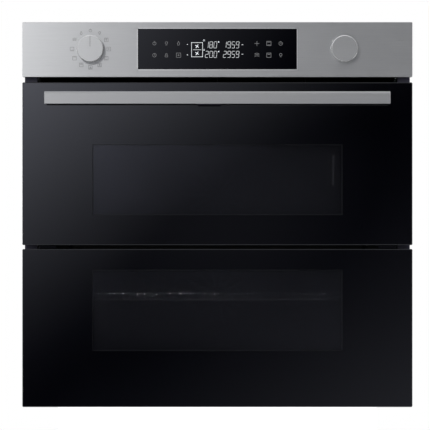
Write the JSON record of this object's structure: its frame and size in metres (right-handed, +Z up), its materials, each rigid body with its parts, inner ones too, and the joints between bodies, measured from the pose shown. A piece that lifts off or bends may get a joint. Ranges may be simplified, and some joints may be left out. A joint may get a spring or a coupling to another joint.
{
  "type": "built-in wall oven",
  "caption": "Built-in electric wall oven with rotary knobs, a glass display, a bar handle and a split drop-down glass door that opens in half or in full.",
  "frame": {"origin": "bottom centre of the whole oven, at the underside of the base skids", "axes": "+Z up, the doors and the control panel face -Y, +X to the right as seen from the front"},
  "size_m": [0.595, 0.61, 0.595],
  "materials": {
    "galvanised_steel": "galvanised",
    "enamel": "speckled vitreous enamel",
    "dark_paint": "matt black paint",
    "motor_steel": "lacquered",
    "chromed_wire": "bright",
    "heater_sheath": "dark oxidised steel",
    "seal_rubber": "matt silicone",
    "mineral_wool": "fibrous",
    "lamp_glass": "clear ribbed",
    "ceramic": "glazed",
    "white_plastic": "matt",
    "black_plastic": "matt",
    "circuit_board": "satin",
    "brushed_steel": "fine horizontal brushing",
    "knob_metal": "spun face with a bright bevel",
    "lever_metal": "satin",
    "fan_steel": "satin",
    "black_glass": "polished, dark tinted",
    "clear_glass": "polished"
  },
  "bodies": {
    "chassis": {"side_panel_left": "galvanised_steel", "side_panel_right": "galvanised_steel", "top_cover": "galvanised_steel", "base_pan": "galvanised_steel", "rear_panel": "galvanised_steel", "base_skids": "galvanised_steel", "panel_support": "galvanised_steel", "cooling_fan_housing": "galvanised_steel", "hinge_receivers": "galvanised_steel", "hinge_arms": "galvanised_steel", "front_frame": "enamel", "cavity_liner": "enamel", "fan_cover": "enamel", "side_trims": "dark_paint", "air_duct": "dark_paint", "cooling_fan_motor": "motor_steel", "fan_motors": "motor_steel", "rack_support_left": "chromed_wire", "rack_support_right": "chromed_wire", "temperature_probe": "chromed_wire", "body_screws": "chromed_wire", "grill_element": "heater_sheath", "bottom_element": "heater_sheath", "ring_elements": "heater_sheath", "door_seal": "seal_rubber", "insulation": "mineral_wool", "lamp_lenses": "lamp_glass", "lamp_holders": "ceramic", "terminal_block": "white_plastic", "cable_gland": "black_plastic", "panel_carrier": "black_plastic", "rotary_switches": "black_plastic", "control_boards": "circuit_board", "control_fascia": "brushed_steel", "display_glass": "black_glass"},
    "lower_door_body": {"lower_outer_glass": "black_glass", "lower_middle_glass": "clear_glass", "lower_inner_glass": "clear_glass", "lower_door_frame": "dark_paint", "lower_hinge_bodies": "galvanised_steel", "hinge_pins": "chromed_wire", "hinge_springs": "chromed_wire", "lower_door_trim": "dark_paint"},
    "upper_door_body": {"upper_outer_glass": "black_glass", "upper_middle_glass": "clear_glass", "upper_inner_glass": "clear_glass", "upper_door_frame": "dark_paint", "upper_hinge_leaves": "dark_paint", "handle_bar": "brushed_steel", "handle_brackets": "brushed_steel"},
    "release_lever_body": {"release_lever": "lever_metal"},
    "latch_bolts_body": {"latch_bolts": "chromed_wire"},
    "selector_knob_body": {"selector_knob": "knob_metal"},
    "value_knob_body": {"value_knob": "knob_metal"},
    "upper_fan_body": {"convection_fan_upper": "fan_steel"},
    "lower_fan_body": {"convection_fan_lower": "fan_steel"},
    "cooling_fan_body": {"cooling_impeller": "black_plastic"},
    "wire_rack_body": {"wire_rack": "chromed_wire"},
    "baking_tray_body": {"baking_tray": "enamel"},
    "divider_body": {"cavity_divider": "enamel"}
  },
  "joints": [
    {"name": "lower_door_hinge", "type": "hinge", "parent": "chassis", "child": "lower_door_body", "pos_m": [0, -0.247, 0.028], "axis": [1, 0, 0], "range_deg": [0, 90], "stiffness_Nm_per_rad": 9, "springref_deg": -20.05},
    {"name": "upper_door_hinge", "type": "hinge", "parent": "lower_door_body", "child": "upper_door_body", "pos_m": [0, -0.2596, 0.252], "axis": [1, 0, 0], "range_deg": [0, 90], "stiffness_Nm_per_rad": 2, "springref_deg": -20.05},
    {"name": "release_lever_press", "type": "slide", "parent": "upper_door_body", "child": "release_lever_body", "axis": [0, 0, -1], "range_m": [0, 0.004], "stiffness_N_per_m": 800, "springref_m": -0.002},
    {"name": "latch_bolt_lift", "type": "slide", "parent": "upper_door_body", "child": "latch_bolts_body", "axis": [0, 0, 1], "range_m": [0, 0.004]},
    {"name": "selector_knob_turn", "type": "hinge", "parent": "chassis", "child": "selector_knob_body", "pos_m": [-0.1936, -0.271, 0.554], "axis": [0, -1, 0], "continuous": true},
    {"name": "value_knob_turn", "type": "hinge", "parent": "chassis", "child": "value_knob_body", "pos_m": [0.1936, -0.271, 0.554], "axis": [0, -1, 0], "continuous": true},
    {"name": "upper_fan_spin", "type": "hinge", "parent": "chassis", "child": "upper_fan_body", "pos_m": [0, 0.189, 0.334], "axis": [0, -1, 0], "continuous": true},
    {"name": "lower_fan_spin", "type": "hinge", "parent": "chassis", "child": "lower_fan_body", "pos_m": [0, 0.189, 0.17], "axis": [0, -1, 0], "continuous": true},
    {"name": "cooling_fan_spin", "type": "hinge", "parent": "chassis", "child": "cooling_fan_body", "pos_m": [0, -0.046, 0.538], "axis": [1, 0, 0], "continuous": true},
    {"name": "wire_rack_slide", "type": "slide", "parent": "chassis", "child": "wire_rack_body", "axis": [0, -1, 0], "range_m": [0, 0.028]},
    {"name": "baking_tray_slide", "type": "slide", "parent": "chassis", "child": "baking_tray_body", "axis": [0, -1, 0], "range_m": [0, 0.02]},
    {"name": "divider_slide", "type": "slide", "parent": "chassis", "child": "divider_body", "axis": [0, -1, 0], "range_m": [0, 0.016]}
  ],
  "couplings": [
    {"joint": "latch_bolt_lift", "follows": "release_lever_press", "ratio": 1}
  ]
}
